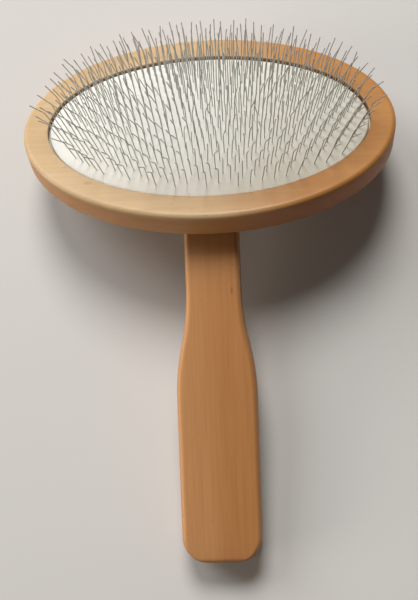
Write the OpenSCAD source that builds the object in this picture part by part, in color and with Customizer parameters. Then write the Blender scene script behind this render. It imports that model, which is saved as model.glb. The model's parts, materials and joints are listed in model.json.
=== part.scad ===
/* [Head] */
// Width of the oval head, across the handle
head_len = 140; // [110:1:180]
// Width of the oval head, along the handle
head_wid = 85.2; // [70:0.2:110]
// Thickness of the head board
head_t = 12.5; // [11:0.5:18]
// Width of the flat rim round the opening
rim_w = 9.4; // [7:0.1:11]
// Rounding of the rim's upper outer edge
rim_round = 1.8; // [0.8:0.1:3]
// Rounding of the lower outer edge
back_round = 2.6; // [1:0.1:4]
// Wood left under the recess
floor_t = 3.6; // [3:0.1:5]

/* [Cushion] */
// Height of the cushion's crown above the rim face
crown_h = 7.5; // [4:0.1:10]
// Depth of the cushion's edge below the rim face
edge_drop = 1.4; // [0.6:0.1:2]
// Thickness of the rubber
rubber_t = 1.6; // [1.2:0.1:2]
// Gap between the rubber and the opening's wall
rubber_gap = 0.5; // [0.3:0.1:0.8]
// Depth of the groove that holds the cushion's flange
groove_depth = 1.8; // [1.2:0.1:2.4]
// Thickness of the flange
flange_t = 1.4; // [1:0.1:1.8]
// Clearance of the flange in its groove
flange_fit = 0.2; // [0.1:0.05:0.4]
// Thickness of the woven backing under the rubber
backing_t = 0.8; // [0.5:0.1:1.2]

/* [Pins] */
// Thickness of the wire
wire_d = 0.45; // [0.3:0.05:0.7]
// Length from the cushion to the bend
pin_shaft = 9.7; // [8:0.1:13]
// Length from the bend to the tip
pin_tip = 9.6; // [7:0.1:12]
// Angle that the wire turns at the bend
pin_bend = 27; // [20:1:45]
// Distance between pins in a row
pin_pitch = 4.44; // [4:0.02:6]
// Distance between rows
row_pitch = 2.46; // [2.2:0.02:4]
// Turn of the rows of pins against the head's length
grid_turn = 11.6; // [0:0.1:15]
// Shift of the pins along their rows
grid_along = 2.5; // [0:0.1:4]
// Shift of the rows towards the head's far edge
grid_across = 1.1; // [0:0.1:2.4]
// Shift of the whole pin field along the head
field_shift = 1.2; // [0:0.1:1.5]
// Bare margin between the opening and the outermost pins
pin_margin = 3.1; // [2.6:0.1:8]
// Lean of the pins per millimetre along the head, degrees
lean_long = 0.19; // [0.1:0.01:0.3]
// Further lean outwards of the pins at the head's two ends, degrees
lean_ends = 10; // [0:1:12]
// Lean of the pins per millimetre across the head, degrees
lean_wide = 0.62; // [0.4:0.01:0.9]
// Lean of all the pins away from the handle, degrees
lean_back = 9; // [0:1:15]

/* [Handle] */
// Angle between the handle and the head
handle_tilt = 32; // [25:1:40]
// Length of the handle from its seat, along its front face
handle_len = 130; // [105:1:150]
// Thickness of the handle
handle_t = 15; // [13:0.5:18]
// Width of the neck
neck_w = 20.5; // [18:0.1:24]
// Width of the grip
grip_w = 30.2; // [27:0.2:36]
// Distance from the seat to the start of the flare
neck_len = 27; // [22:1:32]
// Length of the flare between neck and grip
flare_len = 40.5; // [34:0.5:46]
// Rounding of the handle's long edges
handle_round = 2.2; // [1.5:0.1:5]
// Radius of the two corners of the butt
butt_r = 10; // [7:0.5:12]
// Distance from the middle of the head to the handle's front face at its seat
seat_y = 34; // [31:0.5:36]

/* [Screws] */
// Diameter of the screw shank
screw_d = 3; // [2.5:0.1:3.5]
// Length of the screws under the head
screw_len = 13; // [10:0.5:14]
// Diameter of the screw head
screw_head_d = 6; // [5:0.2:7]
// Distance between the two screws
screw_gap = 10; // [8:0.5:11]
// Distance of the screws behind the handle's front face, at the seat
screw_inset = 9; // [7:0.5:11]
// Clearance round the screws
screw_fit = 0.1; // [0.05:0.05:0.3]

/* [Hidden] */
$fn = 96;
slack = 1;
oval_steps = 96;
flare_steps = 8;
butt_steps = 8;
round_steps = 4;
seat_gap = 0.05;
dome_steps = 360;
tube_steps = 180;
spare_turn = 4;

rim_a = head_len / 2;
rim_b = head_wid / 2;
open_a = rim_a - rim_w;
open_b = rim_b - rim_w;

// Crown of the cushion: an arc along the head swept through a smaller arc across it
dome_rise = crown_h + edge_drop;
dome_a = open_a - rubber_gap;
dome_b = open_b - rubber_gap;
long_r = (dome_a * dome_a + dome_rise * dome_rise) / (2 * dome_rise);
wide_r = (dome_b * dome_b + dome_rise * dome_rise) / (2 * dome_rise);
dome_z = crown_h - long_r;
flange_top = -edge_drop - rubber_t;
flange_low = flange_top - flange_t;
recess_z = -(head_t - floor_t);

// Oval field of pins
field_a = open_a - pin_margin;
field_b = open_b - pin_margin;
rows = ceil((field_b * cos(grid_turn) + field_a * sin(grid_turn)) / row_pitch);

// Handle, drawn with its front face at height zero and its length towards -Y
flare_turn = 2 * atan((grip_w - neck_w) / 2 / flare_len);
flare_r = flare_len / 2 / sin(flare_turn);
flare_end = neck_len + flare_len;

// Resting on its back: the head's far lower edge and the handle's butt touch the floor
butt_y = -seat_y - (handle_len - handle_round) * cos(handle_tilt)
    + (handle_t - handle_round) * sin(handle_tilt);
butt_z = -head_t - (handle_len - handle_round) * sin(handle_tilt)
    - (handle_t - handle_round) * cos(handle_tilt);
edge_y = rim_b - back_round;
edge_z = -head_t + back_round;
span = norm([edge_y - butt_y, edge_z - butt_z]);
slope = atan2(edge_z - butt_z, edge_y - butt_y);
rest_tilt = slope - asin((back_round - handle_round) / span);
rest_lift = handle_round - (butt_z * cos(rest_tilt) - butt_y * sin(rest_tilt));

// Ends of the whole brush along Y as it rests, for the origin in the middle
front_y = -seat_y - (handle_len - handle_round) * cos(handle_tilt)
    + handle_round * sin(handle_tilt);
front_z = -head_t - (handle_len - handle_round) * sin(handle_tilt)
    - handle_round * cos(handle_tilt);
near_end = front_y * cos(rest_tilt) + front_z * sin(rest_tilt) - handle_round;
far_end = (rim_b - rim_round) * cos(rest_tilt) - rim_round * sin(rest_tilt) + rim_round;
rest_shift = -(far_end + near_end) / 2;

// Stands the brush, drawn with its rim face level, in the pose in which it rests
module rested() {
    translate([0, rest_shift, rest_lift]) rotate([-rest_tilt, 0, 0]) children();
}

// Closed skin over a stack of rings, each with as many points
module skin(rings) {
    count = len(rings[0]);
    last = len(rings) - 1;
    polyhedron(points = [for (ring = rings) each ring], faces = concat(
        [[for (k = [0:count - 1]) k]],
        [for (level = [0:last - 1], k = [0:count - 1])
            let (here = level * count + k, beside = level * count + (k + 1) % count)
            [here, here + count, beside + count, beside]],
        [[for (k = [count - 1:-1:0]) last * count + k]]));
}

// Straight-walled oval between two heights
module oval(half_len, half_wid, low, high) {
    translate([0, 0, low]) linear_extrude(height = high - low)
        scale([1, half_wid / half_len]) circle(r = half_len);
}

// The head's outline at one height, moved inwards by the same amount all round
function head_ring(inset, z) = [for (k = [0:oval_steps - 1])
    let (t = 360 * k / oval_steps, out = atan2(rim_a * sin(t), rim_b * cos(t)))
    [rim_a * cos(t) - inset * cos(out), rim_b * sin(t) - inset * sin(out), z]];

// Oval board with its lower and upper edges rounded
module head_board() {
    turns = [for (k = [0:round_steps]) 90 * k / round_steps];
    skin(concat(
        [for (t = turns) head_ring(back_round * (1 - sin(t)), -head_t + back_round * (1 - cos(t)))],
        [for (t = turns) head_ring(rim_round * (1 - cos(t)), -rim_round * (1 - sin(t)))]));
}

// Places its children at each screw, with the head's back at height zero
module at_screws() {
    for (side = [-1, 1])
        translate([side * screw_gap / 2, -seat_y + screw_inset, -head_t]) children();
}

module head() {
    color("burlywood") rested() difference() {
        head_board();
        oval(open_a, open_b, recess_z, slack);
        oval(open_a + groove_depth, open_b + groove_depth, flange_low - flange_fit, flange_top + flange_fit);
        at_screws() screw(screw_fit);
    }
}

// Countersunk screw, head up, its head flush with the recess floor
module screw(fit) {
    cone_h = (screw_head_d - screw_d) / 2;
    translate([0, 0, floor_t - screw_len]) cylinder(d = screw_d + 2 * fit, h = screw_len);
    translate([0, 0, floor_t - cone_h - fit])
        cylinder(d1 = screw_d, d2 = screw_head_d + 2 * fit, h = cone_h + fit);
}

module handle_screws() {
    color("silver") rested() at_screws() screw(0);
}

// Solid under the crown's surface, a given depth below it and as thick as stated
module under_crown(depth, thick) {
    half_turn = asin(open_a / long_r) + spare_turn;
    translate([0, 0, dome_z]) rotate([90, 0, 0]) rotate([0, 0, 90 - half_turn])
        rotate_extrude(angle = 2 * half_turn, $fn = dome_steps) translate([long_r - wide_r, 0])
            intersection() {
                difference() {
                    circle(r = wide_r - depth, $fn = tube_steps);
                    circle(r = wide_r - depth - thick, $fn = tube_steps);
                }
                translate([0, -rim_b]) square([wide_r, 2 * rim_b]);
            }
}

module cushion() {
    thick = 2 * (crown_h - flange_low);
    flange_out = groove_depth - flange_fit;
    color("ivory") rested() difference() {
        union() {
            intersection() {
                oval(dome_a, dome_b, flange_low, crown_h + slack);
                under_crown(0, thick);
            }
            oval(open_a + flange_out, open_b + flange_out, flange_low, flange_top);
        }
        intersection() {
            oval(dome_a - rubber_t, dome_b - rubber_t, flange_low - slack, crown_h);
            under_crown(rubber_t, thick);
        }
    }
}

module pin_backing() {
    color("linen") rested() intersection() {
        oval(dome_a - rubber_t - rubber_gap, dome_b - rubber_t - rubber_gap, flange_low, crown_h);
        under_crown(rubber_t + seat_gap, backing_t);
    }
}

// One bent pin, standing at the origin, its tip towards -Y
module pin() {
    half = wire_d / 2;
    mitre = half * tan(pin_bend / 2);
    tip = [-pin_tip * sin(pin_bend), pin_shaft + pin_tip * cos(pin_bend)];
    side = half * [cos(pin_bend), sin(pin_bend)];
    rotate([90, 0, 90]) linear_extrude(height = wire_d, center = true) polygon([
        [-half, 0], [half, 0], [half, pin_shaft + mitre],
        tip + side, tip - side, [-half, pin_shaft - mitre]]);
}

// Height of the cushion's surface, how far a pin leans outwards, and where pins stand
function ring(y) = long_r - wide_r + sqrt(pow(wide_r, 2) - pow(y, 2));
function crown(x, y) = dome_z + sqrt(pow(ring(y), 2) - pow(x, 2));
function lean_out(x) = lean_long * x + lean_ends * pow(x / field_a, 3);
function in_field(x, y) = pow((x - field_shift) / field_a, 2) + pow(y / field_b, 2) <= 1;

module pins() {
    color("dimgray") rested() for (row = [-rows:rows]) {
        across = row * row_pitch + grid_across;
        shift = abs(row) % 2 / 2;
        reach = ceil(field_a / pin_pitch) + 1;
        for (step = [-reach:reach]) {
            along = (step + shift) * pin_pitch + grid_along;
            x = along * cos(grid_turn) - across * sin(grid_turn);
            y = along * sin(grid_turn) + across * cos(grid_turn);
            if (in_field(x, y))
                translate([x, y, crown(x, y)]) rotate([0, lean_out(x), 0])
                    rotate([-lean_back - lean_wide * y, 0, 0]) translate([0, 0, seat_gap]) pin();
        }
    }
}

// Section of the handle: half its width, how far its faces are drawn in, and its corners rounded
function handle_section(half, inset) =
    let (r = min(handle_round, handle_t / 2 - inset, half))
    [for (corner = [0:3], k = [0:round_steps]) let (turn = 90 * (corner + k / round_steps))
        [(corner % 3 == 0 ? 1 : -1) * (half - r) + r * cos(turn),
        (corner < 2 ? -inset - r : r + inset - handle_t) + r * sin(turn)]];

// How far the butt's rounding draws the faces in, at a distance from the end
function butt_inset(left) = left < handle_round
    ? handle_round - sqrt(pow(handle_round, 2) - pow(handle_round - left, 2)) : 0;

// Stations along the handle, each [distance from the seat, half width, inset]:
// the flare's two arcs, then the butt's corners
stations = concat(
    [for (k = [0:flare_steps]) let (t = flare_turn * k / flare_steps)
        [neck_len + flare_r * sin(t), neck_w / 2 + flare_r * (1 - cos(t)), 0]],
    [for (k = [flare_steps - 1:-1:0]) let (t = flare_turn * k / flare_steps)
        [flare_end - flare_r * sin(t), grip_w / 2 - flare_r * (1 - cos(t)), 0]],
    [for (k = [0:butt_steps]) let (t = 90 * k / butt_steps, left = butt_r * (1 - sin(t)))
        [handle_len - left, grip_w / 2 - butt_r * (1 - cos(t)), butt_inset(left)]]);

// Handle from its slanted seat to the butt, its front face at height zero
module handle_body() {
    seat = [for (p = handle_section(neck_w / 2, 0)) [p.x, -p.y / tan(handle_tilt), p.y]];
    skin(concat([seat], [for (s = stations)
        [for (p = handle_section(s[1], s[2])) [p.x, -s[0], p.y]]]));
}

module handle() {
    color("peru") rested() difference() {
        translate([0, -seat_y, -head_t]) rotate([handle_tilt, 0, 0]) handle_body();
        at_screws() screw(screw_fit);
    }
}

head();
cushion();
pin_backing();
pins();
handle();
handle_screws();
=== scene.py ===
import json
import math
import random

import bpy
from mathutils import Matrix, Vector


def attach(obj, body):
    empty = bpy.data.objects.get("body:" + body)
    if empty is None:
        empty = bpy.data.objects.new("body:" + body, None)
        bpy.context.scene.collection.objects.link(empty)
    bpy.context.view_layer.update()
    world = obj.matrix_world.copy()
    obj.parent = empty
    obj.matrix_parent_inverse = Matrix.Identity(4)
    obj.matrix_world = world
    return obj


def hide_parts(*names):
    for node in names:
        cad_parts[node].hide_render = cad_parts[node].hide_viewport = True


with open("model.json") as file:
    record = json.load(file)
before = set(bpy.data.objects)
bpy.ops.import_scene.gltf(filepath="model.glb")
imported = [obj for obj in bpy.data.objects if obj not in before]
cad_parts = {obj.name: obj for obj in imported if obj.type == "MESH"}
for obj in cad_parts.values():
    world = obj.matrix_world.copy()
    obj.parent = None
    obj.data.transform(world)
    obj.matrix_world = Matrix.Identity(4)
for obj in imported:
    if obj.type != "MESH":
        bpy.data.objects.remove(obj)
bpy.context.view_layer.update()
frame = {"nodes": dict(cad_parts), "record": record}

# The part's sizes, with lengths in metres and angles in degrees
MM = 0.001

# Head: an oval board with a flat rim around an oval opening
HEAD_LEN = 140 * MM
HEAD_WID = 85.2 * MM
HEAD_T = 12.5 * MM
RIM_W = 9.4 * MM
RIM_ROUND = 1.8 * MM
BACK_ROUND = 2.6 * MM
FLOOR_T = 3.6 * MM
INNER_ROUND = 0.35 * MM
GROOVE_DEPTH = 1.8 * MM

# Cushion
CROWN_H = 7.5 * MM
EDGE_DROP = 1.4 * MM
RUBBER_T = 1.6 * MM
RUBBER_GAP = 0.5 * MM
RUBBER_ROUND = 0.4 * MM
FLANGE_T = 1.4 * MM
FLANGE_FIT = 0.2 * MM

# Pins: LEAN_LONG and LEAN_WIDE are outward leans in degrees for each metre from the middle, LEAN_ENDS is
# what the head's ends add to that, and LEAN_BACK is away from the handle everywhere
WIRE_R = 0.185 * MM
PIN_SHAFT = 9.7 * MM
PIN_TIP = 9.6 * MM
PIN_BEND = 27
BEND_R = 4 * MM
SEAT_GAP = 0.05 * MM
PIN_PITCH = 4.44 * MM
ROW_PITCH = 2.46 * MM
GRID_TURN = 11.6
GRID_ALONG = 2.5 * MM
GRID_ACROSS = 1.1 * MM
FIELD_SHIFT = 1.2 * MM
PIN_MARGIN = 3.1 * MM
LEAN_LONG = 0.19 / MM
LEAN_ENDS = 10
LEAN_WIDE = 0.62 / MM
LEAN_BACK = 9

# Standard deviations of a pin's lean sideways, its lean away and its twist
PIN_SPREAD = (1.3, 1.1, 8)
SEED = 4

# Handle
HANDLE_TILT = 32
HANDLE_LEN = 130 * MM
HANDLE_T = 15 * MM
NECK_W = 20.5 * MM
GRIP_W = 30.2 * MM
NECK_LEN = 27 * MM
FLARE_LEN = 40.5 * MM
HANDLE_ROUND = 2.2 * MM
BUTT_R = 10 * MM
SEAT_Y = 34 * MM
GRIP_MOUNT_Y = 95 * MM

# Fineness of the meshes, and the angles past which their shading is sharp
HEAD_STEPS = 256
CORNER_STEPS = 8
DOME_STEPS = 40
DOME_CROWDING = 1.4
FLARE_STEPS = 20
BUTT_STEPS = 20
WIRE_SIDES = 8
BEND_STEPS = 4
TIP_TURNS = (0, 30, 60)
EDGE_SUPPORT = 0.4 * MM
SHARP_ANGLE = 40
PIN_SHARP_ANGLE = 60

# Sizes that follow from the others
RIM_A = HEAD_LEN / 2
RIM_B = HEAD_WID / 2
OPEN_A = RIM_A - RIM_W
OPEN_B = RIM_B - RIM_W
DOME_RISE = CROWN_H + EDGE_DROP
DOME_A = OPEN_A - RUBBER_GAP
DOME_B = OPEN_B - RUBBER_GAP
LONG_R = (DOME_A ** 2 + DOME_RISE ** 2) / (2 * DOME_RISE)
WIDE_R = (DOME_B ** 2 + DOME_RISE ** 2) / (2 * DOME_RISE)
DOME_Z = CROWN_H - LONG_R
FLANGE_TOP = -EDGE_DROP - RUBBER_T
FLANGE_LOW = FLANGE_TOP - FLANGE_T
RECESS_Z = -(HEAD_T - FLOOR_T)
FIELD_A = OPEN_A - PIN_MARGIN
FIELD_B = OPEN_B - PIN_MARGIN

# Looks: EVEN leaves coordinates unscaled, and most of a noise's values lie in NOISE_SPAN
EVEN = (1, 1, 1)
WHITE = (1, 1, 1)
NOISE_SPAN = (0.3, 0.7)

# Noises in wood: how fast they change along and across the grain, then detail, roughness and distortion
BANDS = ((6, 60), (3, 0.55, 0.4))
LINES = ((24, 700), (5, 0.6, 0))
FLECKS = ((420, 2600), (2, 0.5, 0))
GLOSS = ((30, 300), (3, 0.5, 0))

# Wood: the tint of its fine lines, its flecks, the span of painted shade on its side below the edge, and
# its waxed surface
LINE_SPAN = (0.3, 0.62)
LINE_TINT = (0.82, 0.78, 0.74)
LINE_DEPTH = 0.55
LINE_BUMP = (0.12, 0.2 * MM)
FLECK_SPAN = (0.68, 0.76)
FLECK_DEPTH = 0.8
SIDE_SHADE_SPAN = (-1.0 * MM, -2.6 * MM)
MARK_CORE = 0.3
WOOD_ROUGH = (0.38, 0.52)
WOOD_SPECULAR = 0.25
WAX_COAT = 0.12
WAX_ROUGH = 0.25

# Each wood: the axis that its grain follows, its pale and deep colours at the left and at the right
# (painted light at the left and painted shade at the right, on the head partly its own tone too), where
# along X one pair becomes the other, its flecks, the painted shade of its side below the edge, and its
# single dark marks, each with its place, half size and depth
# Head: paler at the left and deeper orange at the right, partly the beech's own tone and partly painted
# light from the left and painted shade at the right
HEAD_BEECH = {
    "grain_axis": 0,
    "left": ((0.53, 0.38, 0.22), (0.455, 0.30, 0.15)),
    "right": ((0.435, 0.20, 0.054), (0.365, 0.155, 0.036)),
    "turn_over": (-12 * MM, 42 * MM),
    "fleck": (0.30, 0.15, 0.06),
    # painted shade on the side wall below the rim's edge
    "side": (1.0, 0.71, 0.48),
    "marks": [((-43.9 * MM, -25.5 * MM, 0), (2.6 * MM, 1.1 * MM, 1 * MM), 0.35)],
}
# The opening's wall, groove and recess: dark wood that is painted shade in the gap around the cushion
OPENING_PAINTED_SHADE = {
    "grain_axis": 0,
    "left": ((0.30, 0.19, 0.10), (0.24, 0.145, 0.075)),
    "right": ((0.26, 0.135, 0.055), (0.20, 0.10, 0.04)),
    "turn_over": (-20 * MM, 40 * MM),
    "fleck": (0.12, 0.06, 0.03),
}
# Handle: its left edge a little paler and its right a little darker, which is painted light and painted
# shade
HANDLE_BEECH = {
    "grain_axis": 1,
    "left": ((0.49, 0.25, 0.105), (0.42, 0.20, 0.078)),
    "right": ((0.465, 0.22, 0.083), (0.39, 0.17, 0.058)),
    "turn_over": (-12 * MM, 12 * MM),
    "fleck": (0.24, 0.11, 0.04),
    "marks": [((6.9 * MM, -27.4 * MM, 0), (0.7 * MM, 1.9 * MM, 1 * MM), 0.7)],
}

# Other materials: a noise is its scale and detail, and a bump its strength and distance
RUBBER_CLOUD = (45, 4)
# painted light and shade on the rubber: paler and cooler at the left, darker and warmer at the right,
# fading between them across X
RUBBER_LIT_LEFT = ((0.77, 0.755, 0.69), (0.82, 0.81, 0.75))
RUBBER_SHADED_RIGHT = ((0.75, 0.71, 0.60), (0.79, 0.76, 0.655))
RUBBER_LIGHT_TO_SHADE = (-20 * MM, 50 * MM)
# painted shade: the rubber darker from the middle of the cushion to its far side
RUBBER_MIDDLE = (-33 * MM, -4 * MM)
RUBBER_PAINTED_SHADE = (0.87, 0.885, 0.91)
RUBBER_GRAIN = (2600, 3)
RUBBER_ROUGH = (0.55, 0.68)
RUBBER_BUMP = (0.15, 0.1 * MM)
RUBBER_SHEEN = 0.1

STEEL_PATCHES = (220, 3)
STEEL_TONES = ((0.37, 0.38, 0.37), (0.52, 0.53, 0.52))
STEEL_SPAN = (0.35, 0.65)
STEEL_ROUGH = (0.34, 0.5)
STEEL_METALLIC = 0.6

WEAVE_SCALE = 2200
WEAVE_TONES = ((0.62, 0.56, 0.44), (0.5, 0.44, 0.33))
WEAVE_BUMP = (0.4, 0.2 * MM)
WEAVE_ROUGH = 0.9

ZINC_PATCHES = (600, 3)
ZINC_TONES = ((0.42, 0.42, 0.43), (0.58, 0.58, 0.6))
ZINC_ROUGH = 0.35

FLOOR_HALF = 3.0
FLOOR_CLOUD = (6, 2)
FLOOR_TONES = ((0.55, 0.545, 0.54), (0.57, 0.565, 0.56))
FLOOR_ROUGH = 0.7

# Studio: a light's name, place, size, power and colour
LIGHTS = (
    ("key", (-1.4, 1.3, 1.2), 1.4, 29, WHITE),
    ("overhead", (-0.1, 1.5, 1.6), 0.9, 43, (1, 0.97, 0.92)),
    ("side", (-1.8, -0.3, 0.45), 1.0, 16, (1, 0.88, 0.74)),
)
LIGHT_TARGET = (0, 0, 0.02)
WORLD_COLOR = (1.0, 0.88, 0.75)
WORLD_STRENGTH = 0.085
BACKDROP = (0.70, 0.69, 0.68)

# Camera, fitted to the photograph in the brush frame: its place in millimetres, two of its directions, its
# lens and sensor in millimetres, and how near and far it sees
CAMERA_PLACE = (17.54, -241.47, 293.66)
CAMERA_RIGHT = (0.9981, -0.0049, -0.0622)
CAMERA_FORWARD = (-0.0518, 0.4899, -0.8702)
CAMERA_LENS = 60
CAMERA_SENSOR = 36
CAMERA_CLIP = (0.02, 20)


def frames():
    """The brush frame (rim face at height zero) and the handle frame, from the mount behind the grip."""
    mount = next(m for m in frame["record"]["mounts"] if m["name"] == "grip_back")
    up = -Vector(mount["axis"]).normalized()
    right = Vector((1, 0, 0))
    along = up.cross(right)
    origin = Vector(mount["pos_m"]) + along * GRIP_MOUNT_Y + up * HANDLE_T
    handle = Matrix.Translation(origin) @ Matrix((right, along, up)).transposed().to_4x4()
    tilt = Matrix.Rotation(math.radians(HANDLE_TILT), 4, "X")
    seat = Matrix.Translation((0, -SEAT_Y, -HEAD_T)) @ tilt
    return handle @ seat.inverted(), handle


BRUSH, HANDLE = frames()


def add_mesh(name, verts, faces, matrix, node, material, sharp_angle=SHARP_ANGLE):
    """A smooth-shaded mesh piece that stands for a node."""
    mesh = bpy.data.meshes.new(name)
    mesh.from_pydata([matrix @ Vector(v) for v in verts], [], faces)
    mesh.validate()
    for face in mesh.polygons:
        face.use_smooth = True
    mesh.set_sharp_from_angle(angle=math.radians(sharp_angle))
    mesh.materials.append(material)
    piece = bpy.data.objects.new(name, mesh)
    bpy.context.scene.collection.objects.link(piece)
    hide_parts(node)
    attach(piece, "root")
    return piece


def band(faces, low, high, count):
    """Quads between two rings of points, outward when the second ring is above the first."""
    for k in range(count):
        beside = (k + 1) % count
        faces.append((low + k, low + beside, high + beside, high + k))


def stacked(rings):
    """Points and faces of a skin over a stack of rings, then its two end faces."""
    count = len(rings[0])
    verts = [p for ring in rings for p in ring]
    faces = []
    for level in range(len(rings) - 1):
        band(faces, level * count, (level + 1) * count, count)
    faces.append(tuple(range(count - 1, -1, -1)))
    faces.append(tuple(range(len(verts) - count, len(verts))))
    return verts, faces


def oval_point(half_len, half_wid, k):
    """One of the points around an oval."""
    t = 2 * math.pi * k / HEAD_STEPS
    return half_len * math.cos(t), half_wid * math.sin(t)


def oval_ring(half_len, half_wid, inset, z):
    """One oval drawn in by the same amount all round."""
    ring = []
    for k in range(HEAD_STEPS):
        t = 2 * math.pi * k / HEAD_STEPS
        out = math.atan2(half_len * math.sin(t), half_wid * math.cos(t))
        x = half_len * math.cos(t) - inset * math.cos(out)
        y = half_wid * math.sin(t) - inset * math.sin(out)
        ring.append((x, y, z))
    return ring


def rim_rings():
    """Rings from the head's back over its side and rim face to the rounded edge of its opening."""
    turns = [math.pi / 2 * k / CORNER_STEPS for k in range(CORNER_STEPS + 1)]
    rings = [oval_ring(RIM_A, RIM_B, BACK_ROUND + EDGE_SUPPORT, -HEAD_T)]
    for t in turns:
        inset = BACK_ROUND * (1 - math.sin(t))
        rings.append(oval_ring(RIM_A, RIM_B, inset, -HEAD_T + BACK_ROUND * (1 - math.cos(t))))
    for t in turns:
        inset = RIM_ROUND * (1 - math.cos(t))
        rings.append(oval_ring(RIM_A, RIM_B, inset, -RIM_ROUND * (1 - math.sin(t))))
    rings.append(oval_ring(RIM_A, RIM_B, RIM_ROUND + EDGE_SUPPORT, 0))
    rings.append(oval_ring(OPEN_A, OPEN_B, -INNER_ROUND - EDGE_SUPPORT, 0))
    for t in turns:
        out = -INNER_ROUND * (1 - math.sin(t))
        rings.append(oval_ring(OPEN_A, OPEN_B, out, -INNER_ROUND * (1 - math.cos(t))))
    return rings


def opening_rings():
    """Rings down the opening's wall, round its groove and to the floor of the recess."""
    high, low = FLANGE_TOP + FLANGE_FIT, FLANGE_LOW - FLANGE_FIT
    groove_a, groove_b = OPEN_A + GROOVE_DEPTH, OPEN_B + GROOVE_DEPTH
    return [
        oval_ring(OPEN_A, OPEN_B, 0, high),
        oval_ring(groove_a, groove_b, 0, high),
        oval_ring(groove_a, groove_b, 0, low),
        oval_ring(OPEN_A, OPEN_B, 0, low),
        oval_ring(OPEN_A, OPEN_B, 0, RECESS_Z)]


def make_head(material, inside):
    """Board with rounded edges, and the opening's wall, groove and recess in dark wood that is painted
    shade.
    """
    outer = rim_rings()
    verts, faces = stacked(outer + opening_rings())
    piece = add_mesh("beech_head", verts, faces, BRUSH, "head", material)
    # the second material, painted shade, goes on every face of the opening's wall, groove and recess
    piece.data.materials.append(inside)
    opening_start = (len(outer) - 1) * HEAD_STEPS
    back = len(faces) - 2
    for face in list(piece.data.polygons)[opening_start:]:
        if face.index != back:
            face.material_index = 1
    return piece


def crown(x, y, below=0):
    """Height of the cushion's surface, or of the surface that far under it."""
    wide = WIDE_R - below
    ring = LONG_R - WIDE_R + math.sqrt(max(wide ** 2 - y ** 2, 0))
    return DOME_Z + math.sqrt(max(ring ** 2 - x ** 2, 0))


def dome_rings(half_len, half_wid, below, round_r):
    """Rings of a crowned surface from its middle out to where its edge starts to roll over."""
    rings = []
    reach = 1 - round_r / half_wid
    for step in range(1, DOME_STEPS + 1):
        part = 1 - (1 - step / DOME_STEPS) ** DOME_CROWDING
        ring = []
        for k in range(HEAD_STEPS):
            x, y = oval_point(half_len * reach * part, half_wid * reach * part, k)
            ring.append((x, y, crown(x, y, below)))
        rings.append(ring)
    return rings


def rolled_edge(inner, edge):
    """Rings that carry a crowned surface on from its own slope, over its edge and down."""
    rings = []
    for step in range(1, CORNER_STEPS + 1):
        ring = []
        for k, (x, y, z) in enumerate(edge):
            past = Vector(edge[k]) - Vector(inner[k])
            start = math.atan2(-past.z, past.xy.length)
            end_x, end_y = oval_point(DOME_A, DOME_B, k)
            radius = math.hypot(end_x - x, end_y - y) / (1 - math.sin(start))
            t = start + (math.pi / 2 - start) * step / CORNER_STEPS
            grow = (math.sin(t) - math.sin(start)) / (1 - math.sin(start))
            drop = radius * (math.cos(start) - math.cos(t))
            ring.append((x + (end_x - x) * grow, y + (end_y - y) * grow, z - drop))
        rings.append(ring)
    return rings


def make_cushion(material):
    """Domed rubber with a rolled edge, a wall, a flange in the groove and a hollow underside."""
    rings = dome_rings(DOME_A, DOME_B, 0, RUBBER_ROUND)
    rings.extend(rolled_edge(rings[-2], rings[-1]))
    flange = GROOVE_DEPTH - FLANGE_FIT
    rings.append(oval_ring(DOME_A, DOME_B, 0, FLANGE_TOP))
    rings.append(oval_ring(OPEN_A + flange, OPEN_B + flange, 0, FLANGE_TOP))
    rings.append(oval_ring(OPEN_A + flange, OPEN_B + flange, 0, FLANGE_LOW))
    rings.append(oval_ring(DOME_A - RUBBER_T, DOME_B - RUBBER_T, 0, FLANGE_LOW))
    under = dome_rings(DOME_A - RUBBER_T, DOME_B - RUBBER_T, RUBBER_T, 0)
    rings.extend(reversed(under))
    verts, faces = stacked(rings)
    faces = [tuple(reversed(f)) for f in faces]
    return add_mesh("rubber_cushion", verts, faces, BRUSH, "cushion", material)


def pin_places():
    """Where the pins stand: staggered rows, turned against the head's length, inside an oval."""
    turn = math.radians(GRID_TURN)
    cos, sin = math.cos(turn), math.sin(turn)
    rows = math.ceil((FIELD_B * cos + FIELD_A * sin) / ROW_PITCH)
    reach = math.ceil(FIELD_A / PIN_PITCH) + 1
    for row in range(-rows, rows + 1):
        aside = row * ROW_PITCH + GRID_ACROSS
        for step in range(-reach, reach + 1):
            along = (step + abs(row) % 2 / 2) * PIN_PITCH + GRID_ALONG
            x = along * cos - aside * sin
            y = along * sin + aside * cos
            if ((x - FIELD_SHIFT) / FIELD_A) ** 2 + (y / FIELD_B) ** 2 <= 1:
                yield x, y


def pin_path():
    """Point, direction and relative thickness at each section of one bent wire with a rounded tip."""
    bend = math.radians(PIN_BEND)
    cut = BEND_R * math.tan(bend / 2)
    path = [((0, 0, 0), 0, 1), ((0, 0, PIN_SHAFT - cut), 0, 1)]
    for k in range(1, BEND_STEPS + 1):
        t = bend * k / BEND_STEPS
        y = -BEND_R * (1 - math.cos(t))
        z = PIN_SHAFT - cut + BEND_R * math.sin(t)
        path.append(((0, y, z), t, 1))
    for t in map(math.radians, TIP_TURNS):
        reach = PIN_TIP - WIRE_R * (1 - math.sin(t))
        y = -reach * math.sin(bend)
        z = PIN_SHAFT + reach * math.cos(bend)
        path.append(((0, y, z), bend, math.cos(t)))
    return path


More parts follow.
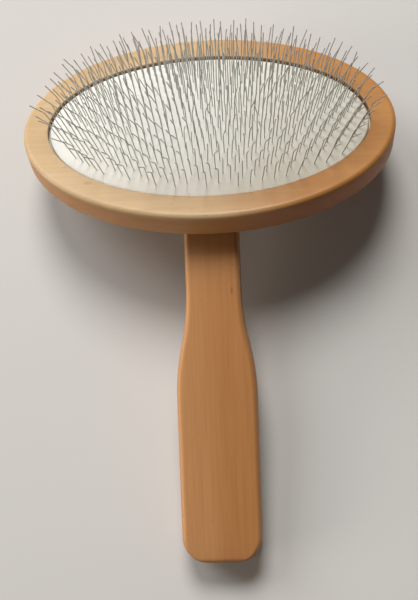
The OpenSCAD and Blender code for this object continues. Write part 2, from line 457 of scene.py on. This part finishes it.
def pin_place(x, y, rng):
    """Where one pin stands and how it leans, no two quite alike."""
    sideways, away, twist = [rng.gauss(0, spread) for spread in PIN_SPREAD]
    lean_out = LEAN_LONG * x + LEAN_ENDS * (x / FIELD_A) ** 3 + sideways
    lean_away = -LEAN_BACK - LEAN_WIDE * y + away
    place = Matrix.Translation((x, y, crown(x, y)))
    place = place @ Matrix.Rotation(math.radians(lean_out), 4, "Y")
    place = place @ Matrix.Rotation(math.radians(lean_away), 4, "X")
    place = place @ Matrix.Translation((0, 0, SEAT_GAP))
    return place @ Matrix.Rotation(math.radians(twist), 4, "Z")


def wire_points(path, place):
    """Rings of points around one bent wire."""
    points = []
    for middle, t, grow in path:
        side = Vector((0, math.cos(t), math.sin(t)))
        for k in range(WIRE_SIDES):
            a = 2 * math.pi * k / WIRE_SIDES
            out = Vector((1, 0, 0)) * math.cos(a) + side * math.sin(a)
            points.append(place @ (Vector(middle) + out * WIRE_R * grow))
    return points


def make_pins(material):
    """Round bent wires with rounded tips."""
    rng = random.Random(SEED)
    verts, faces = [], []
    path = pin_path()
    for x, y in pin_places():
        start = len(verts)
        verts.extend(wire_points(path, pin_place(x, y, rng)))
        top = len(verts) - WIRE_SIDES
        for low in range(start, top, WIRE_SIDES):
            band(faces, low, low + WIRE_SIDES, WIRE_SIDES)
        faces.append(tuple(range(start + WIRE_SIDES - 1, start - 1, -1)))
        faces.append(tuple(range(top, top + WIRE_SIDES)))
    return add_mesh("bent_pins", verts, faces, BRUSH, "pins", material, PIN_SHARP_ANGLE)


def handle_section(half, inset):
    """Rounded rectangle across the handle: half its width, and how far its faces are drawn in."""
    r = min(HANDLE_ROUND, HANDLE_T / 2 - inset, half)
    points = []
    for corner in range(4):
        for k in range(CORNER_STEPS + 1):
            t = math.pi / 2 * (corner + k / CORNER_STEPS)
            x = (1 if corner % 3 == 0 else -1) * (half - r) + r * math.cos(t)
            z = (-inset - r if corner < 2 else r + inset - HANDLE_T) + r * math.sin(t)
            points.append((x, z))
    return points


def butt_inset(left):
    """How far the rounded butt draws the faces in, at a distance from the end."""
    if left >= HANDLE_ROUND:
        return 0.0
    return HANDLE_ROUND - math.sqrt(HANDLE_ROUND ** 2 - (HANDLE_ROUND - left) ** 2)


def handle_stations():
    """Distance from the seat, half width and inset at each section."""
    turn = 2 * math.atan((GRIP_W - NECK_W) / 2 / FLARE_LEN)
    flare_r = FLARE_LEN / 2 / math.sin(turn)
    flare_end = NECK_LEN + FLARE_LEN
    stations = []
    for k in range(FLARE_STEPS + 1):
        t = turn * k / FLARE_STEPS
        half = NECK_W / 2 + flare_r * (1 - math.cos(t))
        stations.append((NECK_LEN + flare_r * math.sin(t), half, 0))
    for k in range(FLARE_STEPS - 1, -1, -1):
        t = turn * k / FLARE_STEPS
        half = GRIP_W / 2 - flare_r * (1 - math.cos(t))
        stations.append((flare_end - flare_r * math.sin(t), half, 0))
    for k in range(BUTT_STEPS + 1):
        t = math.pi / 2 * k / BUTT_STEPS
        left = BUTT_R * (1 - math.sin(t))
        half = GRIP_W / 2 - BUTT_R * (1 - math.cos(t))
        stations.append((HANDLE_LEN - left, half, butt_inset(left)))
    return stations


def make_handle(material):
    """Handle from its slanted seat on the head's back to the rounded butt."""
    slant = math.tan(math.radians(HANDLE_TILT))
    rings = [[(x, -z / slant, z) for x, z in handle_section(NECK_W / 2, 0)]]
    for along, half, inset in handle_stations():
        rings.append([(x, -along, z) for x, z in handle_section(half, inset)])
    verts, faces = stacked(rings)
    return add_mesh("beech_handle", verts, faces, HANDLE, "handle", material)


def new_material(name):
    """A material with its nodes, its links and its shader."""
    material = bpy.data.materials.new(name)
    material.use_nodes = True
    nodes, links = material.node_tree.nodes, material.node_tree.links
    return material, nodes, links, nodes["Principled BSDF"]


def placed(nodes, links, scale=EVEN, matrix=None):
    """Object coordinates, turned into a piece's own frame and scaled along each of its axes."""
    coord = nodes.new("ShaderNodeTexCoord")
    place = nodes.new("ShaderNodeMapping")
    if matrix is not None:
        place.inputs["Rotation"].default_value = matrix.inverted().to_euler()
        place.inputs["Location"].default_value = matrix.inverted().translation
    links.new(coord.outputs["Object"], place.inputs["Vector"])
    mapping = nodes.new("ShaderNodeMapping")
    mapping.inputs["Scale"].default_value = scale
    links.new(place.outputs["Vector"], mapping.inputs["Vector"])
    return mapping.outputs["Vector"]


def noise(nodes, links, vector, scale, detail, rough=0.5, distortion=0):
    """Noise texture over the given coordinates."""
    node = nodes.new("ShaderNodeTexNoise")
    node.inputs["Scale"].default_value = scale
    node.inputs["Detail"].default_value = detail
    node.inputs["Roughness"].default_value = rough
    node.inputs["Distortion"].default_value = distortion
    links.new(vector, node.inputs["Vector"])
    return node.outputs["Fac"]


def grain(nodes, links, matrix, axis, kind):
    """One of the noises of wood, drawn out along the grain."""
    (lengthwise, crosswise), settings = kind
    scale = [crosswise] * 3
    scale[axis] = lengthwise
    return noise(nodes, links, placed(nodes, links, scale, matrix), 1, *settings)


def two_tone(nodes, links, factor, first, second, span=NOISE_SPAN):
    """The first colour where the factor is low, the second where it is high."""
    node = nodes.new("ShaderNodeValToRGB")
    for element, place, color in zip(node.color_ramp.elements, span, (first, second)):
        element.position = place
        element.color = (*color, 1)
    links.new(factor, node.inputs["Fac"])
    return node.outputs["Color"]


def vary_roughness(nodes, links, factor, shader, low, high):
    """Roughness that follows the factor from one value to another."""
    rough = two_tone(nodes, links, factor, (low,) * 3, (high,) * 3)
    links.new(rough, shader.inputs["Roughness"])


def mix(nodes, links, factor, first, second, blend="MIX"):
    """Mixed colour, where each value is a number, a colour or another node's output."""
    node = nodes.new("ShaderNodeMix")
    node.data_type = "RGBA"
    node.blend_type = blend
    for socket, value in (("Factor", factor), ("A", first), ("B", second)):
        slot = next(s for s in node.inputs if s.name == socket and s.enabled)
        if hasattr(value, "links"):
            links.new(value, slot)
        elif isinstance(value, tuple):
            slot.default_value = (*value, 1)
        else:
            slot.default_value = value
    return next(s for s in node.outputs if s.enabled)


def tinted(nodes, links, color, tint, where):
    """The colour multiplied by a tint, where the factor says."""
    return mix(nodes, links, where, color, mix(nodes, links, 1.0, color, tint, "MULTIPLY"))


def bump(nodes, links, height, shader, strength, distance):
    """Fine relief on the shader's surface."""
    node = nodes.new("ShaderNodeBump")
    node.inputs["Strength"].default_value = strength
    node.inputs["Distance"].default_value = distance
    links.new(height, node.inputs["Height"])
    links.new(node.outputs["Normal"], shader.inputs["Normal"])


def fade(nodes, links, value, start, end):
    """0 where the value is at the start, 1 where it is at the end, smooth between."""
    reach = nodes.new("ShaderNodeMapRange")
    reach.interpolation_type = "SMOOTHSTEP"
    reach.inputs["From Min"].default_value = start
    reach.inputs["From Max"].default_value = end
    links.new(value, reach.inputs["Value"])
    return reach.outputs["Result"]


def across(nodes, links, matrix, axis, start, end):
    """Fade between two distances along one axis of a piece's own frame."""
    parts = nodes.new("ShaderNodeSeparateXYZ")
    links.new(placed(nodes, links, matrix=matrix), parts.inputs["Vector"])
    return fade(nodes, links, parts.outputs[axis], start, end)


def spot(nodes, links, matrix, place, size):
    """1 in the middle of a small oval spot, 0 outside it."""
    near = nodes.new("ShaderNodeMapping")
    near.vector_type = "TEXTURE"
    near.inputs["Location"].default_value = place
    near.inputs["Scale"].default_value = size
    links.new(placed(nodes, links, matrix=matrix), near.inputs["Vector"])
    length = nodes.new("ShaderNodeVectorMath")
    length.operation = "LENGTH"
    links.new(near.outputs["Vector"], length.inputs[0])
    return fade(nodes, links, length.outputs["Value"], 1, MARK_CORE)


def wood(name, matrix, grain_axis, left, right, turn_over, fleck, side=None, marks=()):
    """Waxed beech: soft bands and fine lines along the grain, short dark flecks and single marks, with a
    painted change from lit left to shaded right and, where given, painted shade on the side below the
    edge.
    """
    material, nodes, links, shader = new_material(name)
    bands = grain(nodes, links, matrix, grain_axis, BANDS)
    first = two_tone(nodes, links, bands, *left)
    second = two_tone(nodes, links, bands, *right)
    # painted light and shade: the left pair lit, the right pair shaded, faded across X
    color = mix(nodes, links, across(nodes, links, matrix, "X", *turn_over), first, second)
    lines = grain(nodes, links, matrix, grain_axis, LINES)
    shade = two_tone(nodes, links, lines, LINE_TINT, WHITE, LINE_SPAN)
    color = mix(nodes, links, LINE_DEPTH, color, shade, "MULTIPLY")
    # painted shade on the side below the edge
    if side:
        color = tinted(nodes, links, color, side, across(nodes, links, matrix, "Z", *SIDE_SHADE_SPAN))
    flecks = grain(nodes, links, matrix, grain_axis, FLECKS)
    dots = two_tone(nodes, links, flecks, (0, 0, 0), (FLECK_DEPTH,) * 3, FLECK_SPAN)
    color = mix(nodes, links, dots, color, fleck)
    for place, size, depth in marks:
        mark = spot(nodes, links, matrix, place, size)
        color = mix(nodes, links, mark, color, mix(nodes, links, depth, color, fleck))
    links.new(color, shader.inputs["Base Color"])
    gloss = grain(nodes, links, matrix, grain_axis, GLOSS)
    vary_roughness(nodes, links, gloss, shader, *WOOD_ROUGH)
    shader.inputs["Specular IOR Level"].default_value = WOOD_SPECULAR
    shader.inputs["Coat Weight"].default_value = WAX_COAT
    shader.inputs["Coat Roughness"].default_value = WAX_ROUGH
    bump(nodes, links, lines, shader, *LINE_BUMP)
    return material


def rubber():
    """Matte natural rubber, cloudy and finely grained, with painted light and shade: paler at the left,
    darker and warmer at the right, and darker from the middle to the far side.
    """
    material, nodes, links, shader = new_material("natural_rubber")
    vector = placed(nodes, links)
    cloud = noise(nodes, links, vector, *RUBBER_CLOUD)
    # painted light and shade: lit colours at the left, shaded warmer ones at the right
    left = two_tone(nodes, links, cloud, *RUBBER_LIT_LEFT)
    right = two_tone(nodes, links, cloud, *RUBBER_SHADED_RIGHT)
    color = mix(nodes, links, across(nodes, links, BRUSH, "X", *RUBBER_LIGHT_TO_SHADE), left, right)
    # painted shade, from the middle of the cushion to its far side
    middle = across(nodes, links, BRUSH, "Y", *RUBBER_MIDDLE)
    color = tinted(nodes, links, color, RUBBER_PAINTED_SHADE, middle)
    links.new(color, shader.inputs["Base Color"])
    fine = noise(nodes, links, vector, *RUBBER_GRAIN)
    vary_roughness(nodes, links, fine, shader, *RUBBER_ROUGH)
    bump(nodes, links, fine, shader, *RUBBER_BUMP)
    shader.inputs["Sheen Weight"].default_value = RUBBER_SHEEN
    return material


def steel():
    """Grey steel wire, satin, with slightly uneven tone."""
    material, nodes, links, shader = new_material("grey_wire")
    patches = noise(nodes, links, placed(nodes, links), *STEEL_PATCHES)
    color = two_tone(nodes, links, patches, *STEEL_TONES, STEEL_SPAN)
    links.new(color, shader.inputs["Base Color"])
    vary_roughness(nodes, links, patches, shader, *STEEL_ROUGH)
    shader.inputs["Metallic"].default_value = STEEL_METALLIC
    return material


def weave():
    """Plain woven cotton."""
    material, nodes, links, shader = new_material("woven_cotton")
    check = nodes.new("ShaderNodeTexChecker")
    check.inputs["Scale"].default_value = WEAVE_SCALE
    for socket, color in zip(("Color1", "Color2"), WEAVE_TONES):
        check.inputs[socket].default_value = (*color, 1)
    links.new(placed(nodes, links), check.inputs["Vector"])
    links.new(check.outputs["Color"], shader.inputs["Base Color"])
    bump(nodes, links, check.outputs["Fac"], shader, *WEAVE_BUMP)
    shader.inputs["Roughness"].default_value = WEAVE_ROUGH
    return material


def zinc():
    """Zinc-plated steel."""
    material, nodes, links, shader = new_material("zinc_screw")
    patches = noise(nodes, links, placed(nodes, links), *ZINC_PATCHES)
    links.new(two_tone(nodes, links, patches, *ZINC_TONES), shader.inputs["Base Color"])
    shader.inputs["Metallic"].default_value = 1.0
    shader.inputs["Roughness"].default_value = ZINC_ROUGH
    return material


def dress(node, material):
    """Gives a node of the frame its material."""
    for place in frame["nodes"][node].material_slots:
        place.material = material


def make_floor():
    """A plain pale floor at height zero."""
    material, nodes, links, shader = new_material("pale_floor")
    cloud = noise(nodes, links, placed(nodes, links), *FLOOR_CLOUD)
    links.new(two_tone(nodes, links, cloud, *FLOOR_TONES), shader.inputs["Base Color"])
    shader.inputs["Roughness"].default_value = FLOOR_ROUGH
    mesh = bpy.data.meshes.new("floor")
    corners = [(x * FLOOR_HALF, y * FLOOR_HALF, 0) for x, y in ((-1, -1), (1, -1), (1, 1), (-1, 1))]
    mesh.from_pydata(corners, [], [(0, 1, 2, 3)])
    mesh.materials.append(material)
    floor = bpy.data.objects.new("floor", mesh)
    bpy.context.scene.collection.objects.link(floor)


def make_light(name, place, size, power, color):
    """A soft round light that faces the brush."""
    light = bpy.data.lights.new(name, "AREA")
    light.shape = "DISK"
    light.size = size
    light.energy = power
    light.color = color
    lamp = bpy.data.objects.new(name, light)
    bpy.context.scene.collection.objects.link(lamp)
    lamp.location = place
    lamp.rotation_mode = "QUATERNION"
    lamp.rotation_quaternion = (Vector(LIGHT_TARGET) - Vector(place)).to_track_quat("-Z", "Y")


def make_world():
    """A weak warm light all round, and a pale backdrop where the camera sees past the floor."""
    world = bpy.data.worlds.new("studio")
    world.use_nodes = True
    nodes, links = world.node_tree.nodes, world.node_tree.links
    lit = nodes["Background"]
    lit.inputs["Color"].default_value = (*WORLD_COLOR, 1)
    lit.inputs["Strength"].default_value = WORLD_STRENGTH
    seen = nodes.new("ShaderNodeBackground")
    seen.inputs["Color"].default_value = (*BACKDROP, 1)
    path = nodes.new("ShaderNodeLightPath")
    both = nodes.new("ShaderNodeMixShader")
    links.new(path.outputs["Is Camera Ray"], both.inputs[0])
    links.new(lit.outputs["Background"], both.inputs[1])
    links.new(seen.outputs["Background"], both.inputs[2])
    links.new(both.outputs["Shader"], nodes["World Output"].inputs["Surface"])
    bpy.context.scene.world = world


def make_camera():
    """Camera at the photograph's angle, placed in the brush frame."""
    data = bpy.data.cameras.new("camera")
    data.sensor_fit = "AUTO"
    data.sensor_width = CAMERA_SENSOR
    data.lens = CAMERA_LENS
    data.clip_start, data.clip_end = CAMERA_CLIP
    camera = bpy.data.objects.new("camera", data)
    bpy.context.scene.collection.objects.link(camera)
    place = Vector(CAMERA_PLACE) * MM
    forward = Vector(CAMERA_FORWARD).normalized()
    up = Vector(CAMERA_RIGHT).normalized().cross(forward).normalized()
    right = forward.cross(up)
    turn = Matrix((right, up, -forward)).transposed().to_4x4()
    camera.matrix_world = BRUSH @ Matrix.Translation(place) @ turn
    bpy.context.scene.camera = camera


bpy.context.scene.view_settings.view_transform = "Standard"
make_camera()
make_floor()
make_world()
for settings in LIGHTS:
    make_light(*settings)

# the head's second wood is painted shade for its opening
make_head(wood("head_beech", BRUSH, **HEAD_BEECH), wood("opening_painted_shade", BRUSH, **OPENING_PAINTED_SHADE))
make_cushion(rubber())
make_pins(steel())
make_handle(wood("handle_beech", HANDLE, **HANDLE_BEECH))
dress("pin_backing", weave())
dress("handle_screws", zinc())
